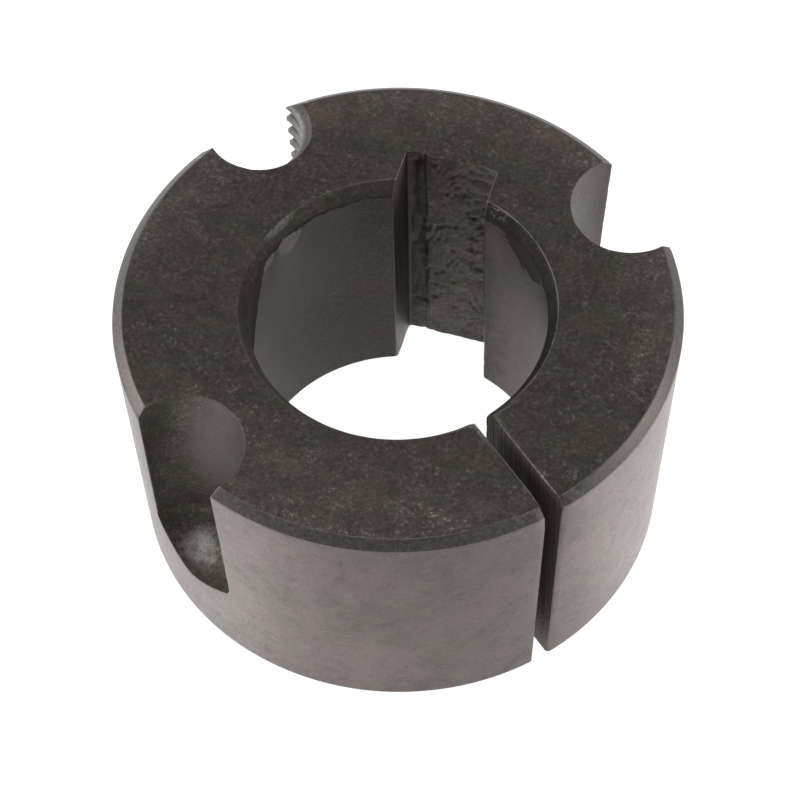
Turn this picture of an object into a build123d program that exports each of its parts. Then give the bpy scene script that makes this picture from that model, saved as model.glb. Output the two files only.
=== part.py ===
from build123d import *
import os
from math import atan, ceil, degrees, pi, radians, tan

# A taper bush: one turned iron sleeve, tapered outside and bored straight, that
# closes on a shaft as its screws draw it into the matching taper of a hub.
# +Z runs along the bore from the small end to the large end, +Y points to the
# keyway, and the origin is the centre of the bore at the small-end face.
# Millimetres and degrees.

# Driving dimensions of the turned sleeve
length = 25.4
large_diameter = 47.6          # outside, where the taper meets the large-end chamfer
taper_half_angle = 4.0         # each side of the axis
bore_diameter = 25.0
large_end_chamfer = 0.8
small_end_chamfer = 0.3
bore_lead_width = 0.8          # lead-in at the large end, deeper than it is wide
bore_lead_depth = 1.15
bore_exit_chamfer = 0.5

# Driving dimensions of the saw cut that lets the sleeve close
split_angle = 320.0
split_width = 1.6
split_offset = 0.33            # the cut runs this far to one side of the axis
split_edge_chamfer = 0.25      # along the outside corners of the cut

# Driving dimensions of the keyway
keyway_angle = 90.0
keyway_width = 8.0
keyway_depth = 3.3             # from the crown of the bore to the keyway's floor
keyway_corner_radius = 0.25

# Driving dimensions of the half holes in the large end
hole_circle_diameter = 44.45
screw_hole_angles = (45.0, 235.0)
screw_hole_diameter = 10.0
screw_hole_depth = 16.7        # at full diameter, above the drill point
drill_point_angle = 118.0
jacking_hole_angle = 140.0
jacking_hole_diameter = 7.94   # tapping size, right through the sleeve

# Driving dimensions of the jacking hole's right-hand Whitworth thread
thread_diameter = 9.525
threads_per_inch = 16
thread_angle = 55.0
thread_root_width = 0.2
thread_start = 0.3             # from the large-end face to the middle of the first turn

# Values that follow from the dimensions above
bore_radius = bore_diameter / 2
large_radius = large_diameter / 2
hole_circle_radius = hole_circle_diameter / 2
taper_slope = tan(radians(taper_half_angle))
small_radius = large_radius - taper_slope * (length - large_end_chamfer - small_end_chamfer)
keyway_floor = bore_radius + keyway_depth
split_length = large_diameter  # from the axis to well outside the wall
screw_hole_radius = screw_hole_diameter / 2
drill_point_depth = screw_hole_radius / tan(radians(drill_point_angle / 2))
jacking_hole_radius = jacking_hole_diameter / 2
thread_radius = thread_diameter / 2
thread_pitch = 25.4 / threads_per_inch
thread_lead_angle = degrees(atan(thread_pitch / (pi * (jacking_hole_radius + thread_radius))))
thread_turns = ceil(length / thread_pitch) + 1
groove_inner_radius = jacking_hole_radius / 2
groove_flare = (thread_radius - groove_inner_radius) * tan(radians(thread_angle / 2))

# The drill that cuts a screw's half hole: full diameter down to a pointed end
with BuildPart() as screw_drill:
    with BuildSketch(Plane.XZ):
        with BuildLine():
            Polyline(
                (0, length - screw_hole_depth - drill_point_depth),
                (screw_hole_radius, length - screw_hole_depth),
                (screw_hole_radius, 2 * length),
                (0, 2 * length),
                close=True,
            )
        make_face()
    revolve(axis=Axis.Z)

# One turn of the tap's groove: a ring of V section that starts inside the hole's wall.
# A half hole holds only half of each turn, so a ring tilted to the lead angle follows it.
with BuildPart() as thread_groove:
    with BuildSketch(Plane.XZ):
        with BuildLine():
            Polyline(
                (thread_radius, -thread_root_width / 2),
                (thread_radius, thread_root_width / 2),
                (groove_inner_radius, thread_root_width / 2 + groove_flare),
                (groove_inner_radius, -thread_root_width / 2 - groove_flare),
                close=True,
            )
        make_face()
    revolve(axis=Axis.Z)

# The sleeve, turned from its half section
with BuildPart() as taper_bush:
    with BuildSketch(Plane.XZ):
        with BuildLine():
            Polyline(
                (bore_radius, bore_exit_chamfer),
                (bore_radius + bore_exit_chamfer, 0),
                (small_radius - small_end_chamfer, 0),
                (small_radius, small_end_chamfer),
                (large_radius, length - large_end_chamfer),
                (large_radius - large_end_chamfer, length),
                (bore_radius + bore_lead_width, length),
                (bore_radius, length - bore_lead_depth),
                close=True,
            )
        make_face()
    revolve(axis=Axis.Z)

    # The saw cut: one slot right through the wall
    split_plane = Plane.XY.rotated((0, 0, split_angle))
    with BuildSketch(split_plane):
        with Locations((split_length / 2, -split_offset)):
            Rectangle(split_length, split_width)
    extrude(amount=length, mode=Mode.SUBTRACT)

    # The edge break along the two outside corners of the saw cut
    cut_edges = taper_bush.edges().filter_by(
        lambda edge: edge.bounding_box().size.Z > length / 2
        and split_plane.to_local_coords(edge.center()).X > bore_radius
        and abs(split_plane.to_local_coords(edge.center()).Y + split_offset) < split_width
    )
    chamfer(cut_edges, split_edge_chamfer)

    # The keyway, with the small corner radii that the broach leaves
    with BuildSketch(Plane.XY.rotated((0, 0, keyway_angle))):
        with BuildLine():
            FilletPolyline(
                (0, -keyway_width / 2),
                (keyway_floor, -keyway_width / 2),
                (keyway_floor, keyway_width / 2),
                (0, keyway_width / 2),
                radius=keyway_corner_radius,
            )
            Line((0, keyway_width / 2), (0, -keyway_width / 2))
        make_face()
    extrude(amount=length, mode=Mode.SUBTRACT)

    # The two blind half holes that take the closing screws
    for angle in screw_hole_angles:
        with PolarLocations(hole_circle_radius, 1, start_angle=angle):
            add(screw_drill.part, mode=Mode.SUBTRACT)

    # The threaded half hole, whose screw pushes the bush free of its hub
    with BuildSketch():
        with PolarLocations(hole_circle_radius, 1, start_angle=jacking_hole_angle):
            Circle(jacking_hole_radius)
    extrude(amount=length, mode=Mode.SUBTRACT)
    groove_places = [
        Location((0, 0, length - thread_start - turn * thread_pitch), (-thread_lead_angle, 0, 0))
        for turn in range(thread_turns)
    ]
    with PolarLocations(hole_circle_radius, 1, start_angle=jacking_hole_angle):
        with Locations(*groove_places):
            add(thread_groove.part, mode=Mode.SUBTRACT)

os.makedirs("parts", exist_ok=True)
taper_bush.part.label = "taper_bush"
export_step(taper_bush.part, "parts/taper_bush.step")
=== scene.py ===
from math import cos, pi, radians, sin, tan

import bmesh
import bpy
import numpy as np
from mathutils import Matrix, Vector


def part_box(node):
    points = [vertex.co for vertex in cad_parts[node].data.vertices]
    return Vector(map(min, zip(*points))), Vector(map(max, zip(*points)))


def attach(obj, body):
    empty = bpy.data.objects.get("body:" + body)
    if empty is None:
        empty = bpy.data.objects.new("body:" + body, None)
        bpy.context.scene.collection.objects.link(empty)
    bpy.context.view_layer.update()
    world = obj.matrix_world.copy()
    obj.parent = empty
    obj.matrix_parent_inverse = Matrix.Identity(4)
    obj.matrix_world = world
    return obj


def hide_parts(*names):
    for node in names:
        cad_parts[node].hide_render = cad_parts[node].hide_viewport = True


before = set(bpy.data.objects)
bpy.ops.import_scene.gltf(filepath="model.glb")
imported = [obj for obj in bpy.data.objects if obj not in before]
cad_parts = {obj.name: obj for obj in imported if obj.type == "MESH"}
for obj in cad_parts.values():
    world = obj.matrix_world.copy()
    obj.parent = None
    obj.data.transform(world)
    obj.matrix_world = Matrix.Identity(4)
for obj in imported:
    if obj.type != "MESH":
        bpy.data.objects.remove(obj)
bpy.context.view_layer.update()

# ---------------------------------------------------------------------------
# The turned sleeve. A ring of close-grained iron, turned to a taper outside and
# bored straight, then blackened; the taper is ground and stays brighter. The
# shapes are in millimetres and become metres when the bush is put together.
# ---------------------------------------------------------------------------
mm = 0.001
lowest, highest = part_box("taper_bush")
length = (highest[2] - lowest[2]) / mm
large_radius = highest[0] / mm              # where the taper meets the large-end chamfer
taper_slope = tan(radians(4.0))
large_chamfer = 0.8
small_chamfer = 0.3
bore_radius = 12.5
lead_width, lead_depth = 0.8, 1.15          # lead-in at the large end of the bore
exit_chamfer = 0.5
edge_break = 0.07                           # how far each turned edge is rubbed down
small_radius = large_radius - taper_slope * (length - large_chamfer - small_chamfer)

FINISHES = ("faced", "chamfered", "ground", "leading", "bored", "drilled", "tapped", "broached", "sawn")
far_off = 9.0                               # stands for any distance past the reach of wear
skin = {"points": [], "reach": [], "quads": [], "quad_finish": [], "fans": [], "fan_finish": []}


def outside(z):
    """Radius of the turned outside: the least of the taper and the two end chamfers."""
    taper = small_radius + taper_slope * (z - small_chamfer)
    small_end = small_radius - small_chamfer + z
    large_end = large_radius + length - large_chamfer - z
    return np.minimum(np.minimum(taper, small_end), large_end)


def inside(z):
    """Radius of the bore: the most of the plain bore, the lead-in and the exit chamfer."""
    lead = bore_radius + lead_width - (length - z) * lead_width / lead_depth
    return np.maximum(np.maximum(bore_radius, lead), bore_radius + exit_chamfer - z)


def turned(radius, angle):
    """Points on circles about the bore: the radius times the angle's cosine and sine."""
    return np.stack((radius * np.cos(angle), radius * np.sin(angle)), -1)


def spread(start, end, count):
    """Even steps from one array to the other, laid along a new last axis."""
    start, end = np.broadcast_arrays(np.asarray(start, float), np.asarray(end, float))
    return start[..., None] + (end - start)[..., None] * np.linspace(0, 1, count)


def raised(plan, z):
    """Points in plan with their height added as a third coordinate."""
    return np.concatenate((plan, np.broadcast_to(z, plan.shape[:-1])[..., None]), -1)


def heights(*marks):
    """Heights from pairs of a height and the steps to the next pair, down to the last."""
    runs = [np.linspace(a[0], b[0], a[1] + 1)[:-1] for a, b in zip(marks, marks[1:])]
    return np.concatenate(runs + [[marks[-1][0]]])


def wall_rows(*marks):
    """Heights down a wall from face to face, and how far its broken edges draw each row in."""
    z = heights(*marks)
    return np.r_[length, z, 0.0], np.r_[edge_break, 0 * z, edge_break]


def reach_from(points, sides):
    """Length along the grid's own lines from each point to the nearest of the named sides.

    Sides are t and b for the first and last row, l and r for the first and last column.
    """
    reach = np.full(points.shape[:2], far_off)
    for axis, first, last in ((0, "t", "b"), (1, "l", "r")):
        steps = np.linalg.norm(np.diff(points, axis=axis), axis=-1)
        run = np.cumsum(steps, axis=axis)
        run = np.concatenate((np.zeros_like(run.take([0], axis)), run), axis)
        if first in sides:
            reach = np.minimum(reach, run)
        if last in sides:
            reach = np.minimum(reach, run.take([-1], axis) - run)
    return reach


def lay(points, finish, sides="tblr", start=0.0):
    """Adds a grid of points to the skin; the finish is one name or one for each row of cells,
    and start is how far the grid's sides already are from an edge."""
    rows, columns = points.shape[:2]
    names = [finish] * (rows - 1) if isinstance(finish, str) else finish
    index = np.arange(rows * columns).reshape(rows, columns) + sum(map(len, skin["points"]))
    cells = (index[:-1, :-1], index[:-1, 1:], index[1:, 1:], index[1:, :-1])
    skin["points"].append(points.reshape(-1, 3))
    skin["reach"].append(reach_from(points, sides).ravel() + start)
    skin["quads"].append(np.stack(cells, -1).reshape(-1, 4))
    skin["quad_finish"].append(np.repeat([FINISHES.index(n) for n in names], columns - 1))
    return points


def lace(left, right, left_key, right_key, finish):
    """Joins two lines of points whose counts differ with a strip of triangles.

    Both lines' keys rise together; each next point by key makes a triangle with the
    latest point of the other line.
    """
    keys = np.concatenate((left_key[1:], right_key[1:]))
    on_left = np.argsort(keys, kind="stable") < len(left) - 1
    i, j = np.cumsum(on_left), np.cumsum(~on_left)
    base = sum(map(len, skin["points"]))
    third = np.where(on_left, i - 1, len(left) + j - 1)
    skin["points"].append(np.concatenate((left, right)))
    skin["reach"].append(np.full(len(left) + len(right), far_off))
    skin["fans"].append(np.stack((i, len(left) + j, third), -1) + base)
    skin["fan_finish"].append(np.full(len(keys), FINISHES.index(finish)))


# The sleeve's finishes. Each is worked out from the place on the bush in millimetres and
# from how far that place is from an edge.
finishes = {}
VECTOR, COLOUR, NUMBER = "NodeSocketVector", "NodeSocketColor", "NodeSocketFloat"


def put(kind, wires=None, **settings):
    """Adds a shader node to the tree being wired; a wire is a value or the socket it is from."""
    made = tree.nodes.new("ShaderNode" + kind)
    for name, value in settings.items():
        setattr(made, name, value)
    for key, value in (wires or {}).items():
        if isinstance(value, bpy.types.NodeSocket):
            tree.links.new(value, made.inputs[key])
        else:
            made.inputs[key].default_value = value
    return made


def calc(operation, *values):
    """The result of a Math node."""
    return put("Math", dict(enumerate(values)), operation=operation).outputs[0]


def times(first, second):
    """One value times another."""
    return calc("MULTIPLY", first, second)


def ease(value, start, end, low=0.0, high=1.0):
    """A value carried smoothly from one span to another and held at its ends."""
    wires = {0: value, 1: start, 2: end, 3: low, 4: high}
    return put("MapRange", wires, interpolation_type="SMOOTHSTEP").outputs[0]


def tint(share, first, second, kind="MIX"):
    """One colour mixed into another by the share."""
    wires = {0: share, 6: first, 7: second}
    return put("Mix", wires, data_type="RGBA", blend_type=kind).outputs[2]


def shaded(colour, by):
    """A colour made darker or lighter by a factor."""
    return put("VectorMath", {0: colour, "Scale": by}, operation="SCALE").outputs[0]


def noise(place, scale, detail=3.0, rough=0.55, bend=0.0):
    """Noise from 0 to 1, its scale in waves a millimetre."""
    wires = {"Vector": place, "Scale": scale, "Detail": detail, "Roughness": rough, "Distortion": bend}
    return put("TexNoise", wires).outputs["Fac"]


def stretch(place, by):
    """A place with each axis scaled by its own number."""
    return put("VectorMath", {0: place, 1: by}, operation="MULTIPLY").outputs[0]


def effect(name, takes, gives):
    """A node group with named inputs and outputs; returns it with its two end nodes."""
    group = bpy.data.node_groups.new(name, "ShaderNodeTree")
    for label, kind, value in takes:
        socket = group.interface.new_socket(label, in_out="INPUT", socket_type=kind)
        if value is not None:
            socket.default_value = value
    for label, kind in gives:
        group.interface.new_socket(label, in_out="OUTPUT", socket_type=kind)
    return group, group.nodes.new("NodeGroupInput").outputs, group.nodes.new("NodeGroupOutput")


def use(group, **values):
    """Places a node group; underscores in the names stand for spaces."""
    made = put("Group", node_tree=group)
    for label, value in values.items():
        socket = made.inputs[label.replace("_", " ")]
        if isinstance(value, bpy.types.NodeSocket):
            tree.links.new(value, socket)
        else:
            socket.default_value = value
    return made.outputs


# Blackened iron: a fine-grained dark oxide that drifts between brown and grey, with pale
# flecks and worm-like traces in clusters, and here and there a faint bloom of rust.
scaled_iron, given, result = effect(
    "scaled_iron",
    [("Place", VECTOR, None), ("Ground", COLOUR, (0.036, 0.0305, 0.0285, 1)),
     ("Flecks", COLOUR, (0.110, 0.100, 0.091, 1)), ("Rust", COLOUR, (0.075, 0.047, 0.030, 1)),
     ("Fleckiness", NUMBER, 1.0), ("Rusting", NUMBER, 1.0)],
    [("Color", COLOUR), ("Grain", NUMBER)])
tree = scaled_iron
fine = noise(given["Place"], 2.6, 5.0, 0.82, 0.4)
middle = noise(given["Place"], 0.55, 4.0, 0.7)
trace = noise(given["Place"], 1.5, 4.0, 0.65, 1.2)
ridge = calc("ABSOLUTE", calc("SUBTRACT", trace, 0.5))
ridge = times(ease(ridge, 0.018, 0.003), ease(fine, 0.46, 0.60))
patchy = calc("MULTIPLY_ADD", calc("SUBTRACT", middle, 0.5), 0.3, fine)
fleck = calc("MULTIPLY_ADD", ridge, 0.35, ease(patchy, 0.54, 0.80))
cluster = ease(noise(given["Place"], 0.22, 3.0, 0.6), 0.42, 0.66, 0.25, 1.0)
fleck = times(times(fleck, given["Fleckiness"]), cluster)
fleck = calc("MINIMUM", fleck, 1.0)
colour = tint(fleck, given["Ground"], given["Flecks"])
shade = times(ease(middle, 0.3, 0.7, 0.80, 1.20), ease(fine, 0.3, 0.7, 0.70, 1.30))
drift = ease(noise(given["Place"], 0.2, 4.0, 0.7), 0.38, 0.62)
drift = tint(drift, (1.08, 0.965, 0.99, 1), (0.96, 1.03, 0.94, 1))
shade = shaded(drift, shade)
colour = tint(1.0, colour, shade, "MULTIPLY")
bloom = times(ease(noise(given["Place"], 0.2, 2.0), 0.48, 0.72),
             ease(noise(given["Place"], 2.0, 4.0), 0.36, 0.68))
bloom = times(bloom, times(given["Rusting"], 0.45))
tree.links.new(tint(bloom, colour, given["Rust"]), result.inputs["Color"])
tree.links.new(patchy, result.inputs["Grain"])

# Edges rubbed bright: strongest on the edge itself and ragged where the rubbing stops.
rubbed_edge, given, result = effect(
    "rubbed_edge",
    [("Place", VECTOR, None), ("Width", NUMBER, 0.3), ("Strength", NUMBER, 1.0)],
    [("Mask", NUMBER)])
tree = rubbed_edge
from_edge = put("Attribute", attribute_name="from_edge").outputs["Fac"]
ragged = calc("SUBTRACT", noise(given["Place"], 2.2, 4.0, 0.65), 0.5)
from_edge = calc("MULTIPLY_ADD", ragged, given["Width"], from_edge)
wide = times(given["Width"], 0.15)
rubbed = ease(from_edge, given["Width"], wide)
uneven = ease(noise(given["Place"], 0.3, 3.0), 0.34, 0.62, 0.25, 1.0)
rubbed = times(times(rubbed, uneven), given["Strength"])
tree.links.new(rubbed, result.inputs["Mask"])

# Tool lines: noise drawn out along the way the tool went.
tool_lines, given, result = effect(
    "tool_lines", [("Place", VECTOR, None), ("Stretch", VECTOR, None)], [("Lines", NUMBER)])
tree = tool_lines
drawn = put("VectorMath", {0: given["Place"], 1: given["Stretch"]}, operation="MULTIPLY")
tree.links.new(noise(drawn.outputs[0], 1.0, 4.0, 0.6), result.inputs["Lines"])

# A blotch round one place, its outline broken up by noise.
blotch, given, result = effect(
    "blotch",
    [("Place", VECTOR, None), ("Middle", VECTOR, None), ("Size", VECTOR, (1, 1, 1)),
     ("Ragged", NUMBER, 0.6), ("Soft", NUMBER, 0.28)],
    [("Mask", NUMBER)])
tree = blotch
offset = put("VectorMath", {0: given["Place"], 1: given["Middle"]}, operation="SUBTRACT")
offset = put("VectorMath", {0: offset.outputs[0], 1: given["Size"]}, operation="DIVIDE")
away = put("VectorMath", {0: offset.outputs[0]}, operation="LENGTH").outputs["Value"]
broken = calc("SUBTRACT", noise(given["Place"], 0.9, 5.0, 0.65), 0.5)
away = calc("MULTIPLY_ADD", broken, given["Ragged"], away)
inner = calc("SUBTRACT", 1.0, given["Soft"])
tree.links.new(ease(away, 1.0, inner), result.inputs["Mask"])


def begin(name):
    """A material with its place in millimetres, its axes and its Principled shader; its tree
    becomes the one that the helpers wire."""
    global tree
    made = bpy.data.materials.new(name)
    made.use_nodes = True
    tree = made.node_tree
    place = stretch(put("TexCoord").outputs["Object"], (1000, 1000, 1000))
    axes = put("SeparateXYZ", {0: place}).outputs
    return made, place, axes, tree.nodes["Principled BSDF"]


def wear(shader, colour, roughness, height, depth, metal=0.0, gloss=0.5):
    """Wires a finish into its shader: colour, roughness, and a bump of that depth in mm."""
    tree.links.new(colour, shader.inputs["Base Color"])
    tree.links.new(roughness, shader.inputs["Roughness"])
    bump = put("Bump", {"Height": height, "Strength": 1.0, "Distance": depth * mm})
    tree.links.new(bump.outputs[0], shader.inputs["Normal"])
    shader.inputs["Metallic"].default_value = metal
    shader.inputs["Specular IOR Level"].default_value = gloss


def stain(middle, size, ragged, soft):
    """Share of a blotch on the material being made."""
    return use(blotch, Place=place, Middle=middle, Size=size, Ragged=ragged, Soft=soft)["Mask"]


def rubbing_at(width, strength):
    """Share of rubbed edge on the material being made."""
    return use(rubbed_edge, Place=place, Width=width, Strength=strength)["Mask"]


def drawn_out(place, by):
    """Tool lines at a place, each axis scaled by its own number."""
    return use(tool_lines, Place=place, Stretch=by)["Lines"]


# Faced ends: faced on the lathe and blackened, mottled all over, with faint brown blooms.
made, place, axes, shader = begin("faced_ends")
radius = put("VectorMath", {0: stretch(place, (1, 1, 0))}, operation="LENGTH")
ring = put("CombineXYZ", {0: radius.outputs["Value"], 1: times(axes[0], 0.02),
                                2: times(axes[1], 0.02)}).outputs[0]
lines = drawn_out(ring, (3.2, 1, 1))
iron = use(scaled_iron, Place=place, Ground=(0.0315, 0.0265, 0.0245, 1), Flecks=(0.125, 0.112, 0.102, 1))
colour = iron["Color"]
for spot, size in (((-12.2, 17.5, 25.4), (3.0, 1.8, 2.0)), ((6.4, -12.4, 25.4), (2.4, 1.2, 2.0)),
                   ((12.9, 8.3, 25.4), (1.4, 1.7, 2.0)), ((-14.1, -12.3, 25.4), (1.6, 1.0, 2.0)),
                   ((-9.2, -14.0, 25.4), (1.8, 1.0, 2.0)), ((7.9, 21.0, 25.4), (3.2, 1.6, 2.0))):
    bloom = stain(spot, size, 2.4, 0.75)
    colour = tint(times(bloom, 0.22), colour, (0.078, 0.052, 0.030, 1))
edge = rubbing_at(0.14, 0.05)
colour = tint(edge, colour, (0.15, 0.14, 0.125, 1))
knocked = stain((11.6, -8.9, 25.4), (3.0, 3.0, 2.0), 0.6, 0.28)
grit = ease(noise(place, 4.5, 4.0, 0.8), 0.42, 0.58, 0.25, 1.0)
edge = rubbing_at(0.42, 1.0)
edge = times(times(edge, knocked), grit)
colour = tint(edge, colour, (0.17, 0.157, 0.14, 1))
height = calc("MULTIPLY_ADD", lines, 0.3, iron["Grain"])
# Lighter towards the front edge and towards the outer rim at the back.
rim = times(ease(radius.outputs["Value"], 16.5, 23.0, 0.0, 0.62), ease(axes[1], -7.0, 4.0))
front_and_rim_lift = calc("ADD", ease(axes[1], -11.0, -19.5, 0.97, 1.40), rim)
colour = shaded(colour, front_and_rim_lift)
wear(shader, colour, ease(iron["Grain"], 0.3, 0.7, 0.66, 0.5), height, 0.04, 0.6, 0.3)
finishes["faced"] = made

# Chamfers at the ends of the taper: turned, and dulled by handling.
made, place, axes, shader = begin("turned_chamfers")
lines = drawn_out(place, (0.25, 0.25, 7.0))
spots = noise(place, 3.2, 4.0, 0.7)
colour = tint(ease(spots, 0.38, 0.64), (0.080, 0.071, 0.067, 1), (0.118, 0.106, 0.100, 1))
colour = tint(ease(noise(place, 1.6, 5.0, 0.75), 0.58, 0.70, 0.0, 0.6), colour, (0.045, 0.039, 0.034, 1))
edge = rubbing_at(0.12, 0.4)
colour = tint(edge, colour, (0.066, 0.059, 0.055, 1))
height = calc("MULTIPLY_ADD", spots, 0.8, lines)
# Painted light: the chamfers are made lighter on the left, where the side lamp falls.
left_side = ease(axes[0], -8.0, -18.0, 1.0, 1.3)
colour = shaded(colour, left_side)
wear(shader, colour, ease(spots, 0.35, 0.65, 0.38, 0.5), height, 0.012, 0.85)
finishes["chamfered"] = made

# The ground taper: bright iron under a thin film of oil, clouded pink and grey, finely
# pitted, with short scratches from being handled and driven home.
made, place, axes, shader = begin("ground_taper")
lines = drawn_out(place, (0.3, 0.3, 6.0))
spots = noise(place, 3.4, 4.0, 0.72)
cloud = noise(place, 0.17, 5.0, 0.68, 0.4)
film = noise(stretch(place, (1, 1, 0.8)), 0.34, 5.0, 0.7, 0.8)
colour = tint(ease(cloud, 0.40, 0.60), (0.238, 0.211, 0.196, 1), (0.281, 0.226, 0.220, 1))
colour = tint(ease(film, 0.50, 0.66, 0.0, 0.7), colour, (0.286, 0.245, 0.225, 1))
colour = tint(ease(film, 0.46, 0.30, 0.0, 0.65), colour, (0.186, 0.156, 0.150, 1))
smudge = times(ease(noise(place, 0.6, 5.0, 0.75, 0.6), 0.48, 0.72), 0.55)
colour = tint(smudge, colour, (0.160, 0.132, 0.126, 1))
dotted = times(ease(spots, 0.52, 0.72), ease(film, 0.6, 0.4, 0.22, 0.62))
colour = tint(dotted, colour, (0.125, 0.105, 0.098, 1))
colour = tint(ease(lines, 0.5, 0.74, 0.0, 0.12), colour, (0.34, 0.30, 0.29, 1))
for slant, width in ((0.5, 0.55), (-0.9, 0.4), (0.1, 0.5)):
    slanted = put("VectorRotate", {"Vector": place, "Angle": slant}, rotation_type="X_AXIS")
    score = drawn_out(slanted.outputs[0], (width, width, 4.6))
    score = times(ease(score, 0.62, 0.67),
                 ease(noise(slanted.outputs[0], 0.6, 3.0, 0.6), 0.52, 0.64, 0.0, 0.5))
    colour = tint(score, colour, (0.42, 0.375, 0.355, 1))
edge = rubbing_at(0.12, 0.25)
colour = tint(edge, colour, (0.32, 0.28, 0.27, 1))
height = calc("MULTIPLY_ADD", spots, 1.6, times(lines, 0.5))
# Painted light and shade: the taper is made lighter towards the bottom and at its far left and right,
# and darker either side of the middle, like the bright floor and side lamps reflected in it.
painted_light_taper = ease(axes[2], 25.0, 1.0, 0.90, 1.22)
for start, end, beyond in ((-5.0, -15.0, 0.82), (-17.0, -21.0, 1.18), (4.0, 10.0, 0.93),
                           (16.0, 22.0, 1.09)):
    painted_light_taper = times(painted_light_taper, ease(axes[0], start, end, 1.0, beyond))
colour = shaded(colour, painted_light_taper)
gripped = stain((19.0, -13.8, 20.5), (2.4, 2.4, 4.4), 1.2, 0.6)
colour = tint(times(gripped, 0.45), colour, (0.150, 0.122, 0.120, 1))
wear(shader, colour, ease(spots, 0.3, 0.7, 0.30, 0.42), height, 0.010, 0.92)
finishes["ground"] = made

# The lead-in and exit chamfers of the bore: left black, greyer towards the saw cut.
made, place, axes, shader = begin("black_lead_in")
iron = use(scaled_iron, Place=place, Ground=(0.0305, 0.0255, 0.0232, 1),
           Flecks=(0.080, 0.071, 0.063, 1), Fleckiness=0.6, Rusting=0.3)
greyer = ease(axes[1], -3.0, -9.0, 0.0, 0.8)
colour = tint(greyer, iron["Color"], (0.060, 0.053, 0.048, 1))
start = stain((5.3, 11.9, 25.0), (1.5, 0.9, 0.9), 1.8, 0.6)
start = times(start, ease(noise(place, 4.0, 4.0, 0.8), 0.50, 0.62))
colour = tint(start, colour, (0.27, 0.245, 0.225, 1))
far_side = ease(axes[0], 3.0, 6.0, 0.08, 1.0)
edge = rubbing_at(0.13, 0.9)
colour = tint(times(edge, far_side), colour, (0.26, 0.24, 0.22, 1))
far_back = calc("MULTIPLY_ADD", ease(axes[1], 3.0, 10.0, 0.0, 0.9),
                ease(axes[0], 3.0, -1.0), ease(axes[0], 2.0, 7.0, 1.0, 0.7))
worn = stain((-11.9, 5.0, 25.3), (1.7, 2.6, 0.55), 1.2, 0.5)
worn = times(worn, ease(iron["Grain"], 0.36, 0.54, 0.3, 1.0))
colour = tint(worn, colour, (0.085, 0.077, 0.070, 1))
colour = shaded(colour, far_back)
wear(shader, colour, ease(iron["Grain"], 0.3, 0.7, 0.62, 0.48), iron["Grain"], 0.02, 0.6, 0.3)
finishes["leading"] = made

# The bore: bored to size, blackened, rubbed smooth by a shaft on one side, with painted sheen in a few
# patches and a painted shadow down the left; the black of the lead-in runs over its edge unevenly.
made, place, axes, shader = begin("bored_wall")
lines = drawn_out(place, (1.5, 1.5, 3.6))
iron = use(scaled_iron, Place=stretch(place, (1.0, 1.0, 1.6)),
           Ground=(0.0510, 0.0415, 0.0350, 1), Flecks=(0.150, 0.128, 0.110, 1), Fleckiness=0.9,
           Rusting=0.3)
sand = noise(stretch(place, (1.0, 1.0, 1.7)), 3.2, 4.0, 0.8)
colour = tint(ease(sand, 0.49, 0.62, 0.0, 0.6), iron["Color"], (0.112, 0.094, 0.080, 1))
colour = tint(ease(sand, 0.49, 0.38, 0.0, 0.55), colour, (0.036, 0.029, 0.025, 1))
colour = tint(ease(lines, 0.42, 0.68, 0.0, 0.12), colour, (0.082, 0.069, 0.058, 1))
# Painted light and shade: paler high on the left of the bore, darker deeper down.
painted_light_upper_left = times(ease(axes[0], -5.0, -11.0, 0.0, 0.8), ease(axes[2], 9.0, 19.0))
colour = tint(ease(axes[2], 14.0, 5.0, 0.0, 0.4), colour, (0.036, 0.030, 0.026, 1))
colour = tint(painted_light_upper_left, colour, (0.112, 0.097, 0.084, 1))
smooth_side = calc("MULTIPLY_ADD", calc("SUBTRACT", noise(place, 0.8, 4.0), 0.5), 5.0, axes[0])
smooth_side = ease(smooth_side, 3.0, 7.0)
speckled = ease(noise(place, 3.0, 4.0, 0.7), 0.38, 0.66)
smooth = tint(speckled, (0.072, 0.052, 0.046, 1), (0.093, 0.071, 0.063, 1))
colour = tint(smooth_side, colour, smooth)
# Painted sheen: bright patches high on the left where the bore is burnished, and a softer one at the
# back on the right.
for spot, size, soft, much in (((-11.2, 5.4, 23.6), (1.3, 1.6, 1.9), 0.14, 1.0),
                               ((-11.4, 5.2, 20.6), (1.9, 2.2, 4.0), 0.8, 0.3),
                               ((-12.2, 2.6, 23.6), (0.8, 1.1, 0.9), 0.2, 1.0)):
    painted_sheen = stain(spot, size, 0.7, soft)
    colour = tint(times(painted_sheen, much), colour, (0.21, 0.186, 0.168, 1))
painted_sheen = stain((4.8, 11.2, 21.3), (2.4, 2.2, 3.6), 0.7, 0.8)
colour = tint(times(painted_sheen, 0.6), colour, (0.158, 0.124, 0.114, 1))
leaning = calc("MULTIPLY_ADD", axes[2], -0.49, axes[1])
leaning = calc("MULTIPLY_ADD", noise(place, 1.2, 4.0), 0.7, leaning)
shadowed = times(ease(leaning, -9.0, -9.3, 0.0, 0.95), ease(axes[0], -9.5, -11.0))
colour = tint(shadowed, colour, (0.022, 0.018, 0.015, 1))
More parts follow.
